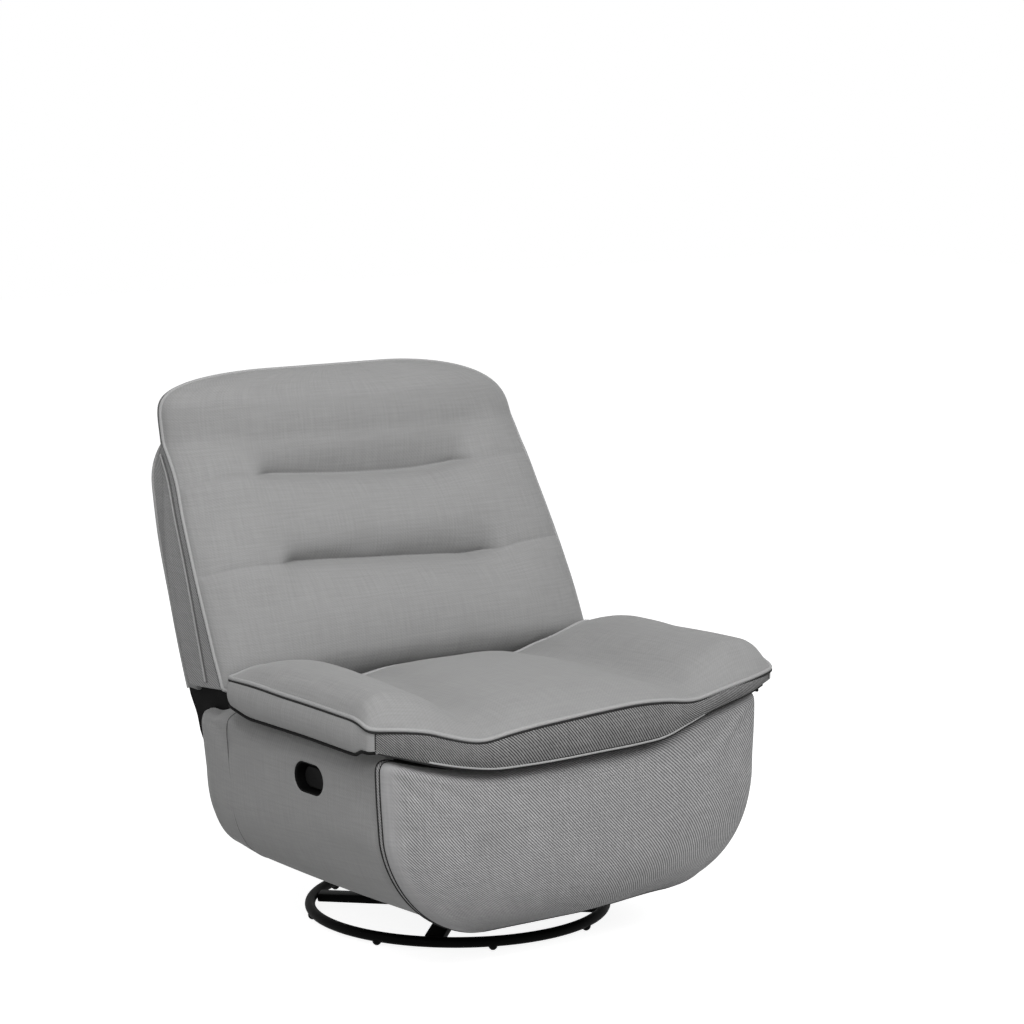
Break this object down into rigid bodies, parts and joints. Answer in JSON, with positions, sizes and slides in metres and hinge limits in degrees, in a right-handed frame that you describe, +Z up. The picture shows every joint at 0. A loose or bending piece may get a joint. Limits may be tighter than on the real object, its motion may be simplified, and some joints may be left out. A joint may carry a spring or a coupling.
{
  "type": "swivel rocking chair",
  "caption": "Grey upholstered swivel rocker recliner on a black ring base, with a channelled reclining back, lobed seat cushion and a front panel that swings up as a footrest.",
  "frame": {"origin": "on the floor under the swivel axis, at the bottom centre of the chair", "axes": "+Z up, the chair faces -Y, +X is on the left hand of someone sitting in it"},
  "size_m": [0.869, 0.8808, 0.974],
  "materials": {
    "upholstery_fabric": "mid-grey woven twill",
    "black_steel": "satin black",
    "black_plastic": "matte black",
    "bearing_nylon": "smooth",
    "frame_wood": "plain plywood",
    "spring_steel": "bare drawn wire"
  },
  "bodies": {
    "base": {"base_ring": "black_steel", "base_cross": "black_steel", "swivel_spindle": "black_steel", "glide_1": "black_plastic", "glide_2": "black_plastic", "glide_3": "black_plastic", "glide_4": "black_plastic", "glide_5": "black_plastic", "glide_6": "black_plastic", "glide_7": "black_plastic", "glide_8": "black_plastic"},
    "turntable": {"swivel_bearing": "bearing_nylon", "swivel_plate": "black_steel", "trunnion_left": "black_steel", "trunnion_right": "black_steel", "rock_shaft": "black_steel", "rock_spring_1": "spring_steel", "rock_spring_2": "spring_steel", "rock_spring_3": "spring_steel", "rock_spring_4": "spring_steel"},
    "chair": {"rocker_cheek_left": "black_steel", "rocker_cheek_right": "black_steel", "cross_rail_front": "black_steel", "cross_rail_rear": "black_steel", "side_plate_left": "black_steel", "side_plate_right": "black_steel", "seat_board_left": "frame_wood", "seat_board_right": "frame_wood", "seat_rail_front": "frame_wood", "seat_rail_rear": "frame_wood", "seat_spring_1": "spring_steel", "seat_spring_2": "spring_steel", "seat_spring_3": "spring_steel", "seat_spring_4": "spring_steel", "side_panel_left": "upholstery_fabric", "side_panel_right": "upholstery_fabric", "handle_cup": "black_plastic", "footrest_flap": "upholstery_fabric", "seat_cushion": "upholstery_fabric"},
    "backrest": {"back_shell": "upholstery_fabric", "back_board": "frame_wood", "back_cushion": "upholstery_fabric", "back_bracket_left": "black_steel", "back_bracket_right": "black_steel"},
    "skirt": {"back_skirt": "upholstery_fabric"},
    "footrest": {"footrest_pad": "upholstery_fabric", "footrest_board": "frame_wood", "footrest_bracket_left": "black_steel", "footrest_bracket_right": "black_steel"},
    "front_cranks": {"front_crank_left": "black_steel", "front_crank_right": "black_steel", "crank_tube": "black_steel"},
    "rear_cranks": {"rear_crank_left": "black_steel", "rear_crank_right": "black_steel"},
    "carrier_arms": {"carrier_arm_left": "black_steel", "carrier_arm_right": "black_steel"},
    "drag_links": {"drag_link_left": "black_steel", "drag_link_right": "black_steel"},
    "lever": {"release_lever": "black_plastic"}
  },
  "joints": [
    {"name": "swivel", "type": "hinge", "parent": "base", "child": "turntable", "pos_m": [0, 0, 0.06], "axis": [0, 0, 1], "continuous": true},
    {"name": "rock", "type": "hinge", "parent": "turntable", "child": "chair", "pos_m": [0, 0, 0.11], "axis": [-1, 0, 0], "range_deg": [-6, 10], "stiffness_Nm_per_rad": 900, "deforming": ["rock_spring_1", "rock_spring_2", "rock_spring_3", "rock_spring_4"]},
    {"name": "recline", "type": "hinge", "parent": "chair", "child": "backrest", "pos_m": [0, 0.2, 0.365], "axis": [-1, 0, 0], "range_deg": [0, 32]},
    {"name": "skirt_hang", "type": "hinge", "parent": "backrest", "child": "skirt", "pos_m": [0, 0.322, 0.4057], "axis": [-1, 0, 0], "range_deg": [-45, 1]},
    {"name": "footrest_swing", "type": "hinge", "parent": "chair", "child": "footrest", "pos_m": [0, -0.39256, 0.4285], "axis": [-1, 0, 0], "range_deg": [0, 82]},
    {"name": "front_crank_turn", "type": "hinge", "parent": "chair", "child": "front_cranks", "pos_m": [0, -0.254, 0.3485], "axis": [-1, 0, 0], "range_deg": [-1, 83]},
    {"name": "rear_crank_turn", "type": "hinge", "parent": "chair", "child": "rear_cranks", "pos_m": [0, -0.20204, 0.3185], "axis": [-1, 0, 0], "range_deg": [-1, 83]},
    {"name": "carrier_turn", "type": "hinge", "parent": "footrest", "child": "carrier_arms", "pos_m": [0, -0.27506, 0.22498], "axis": [-1, 0, 0], "range_deg": [-83, 1]},
    {"name": "drag_turn", "type": "hinge", "parent": "footrest", "child": "drag_links", "pos_m": [0, -0.30506, 0.27695], "axis": [-1, 0, 0], "range_deg": [-83, 1]},
    {"name": "lever_pull", "type": "hinge", "parent": "chair", "child": "lever", "pos_m": [-0.396, -0.169, 0.329], "axis": [0, 0, 1], "range_deg": [0, 30], "stiffness_Nm_per_rad": 1.5}
  ],
  "couplings": [
    {"joint": "skirt_hang", "follows": "recline", "ratio": -1.3125},
    {"joint": "front_crank_turn", "follows": "footrest_swing", "ratio": 1},
    {"joint": "rear_crank_turn", "follows": "footrest_swing", "ratio": 1},
    {"joint": "carrier_turn", "follows": "footrest_swing", "ratio": -1},
    {"joint": "drag_turn", "follows": "footrest_swing", "ratio": -1}
  ]
}
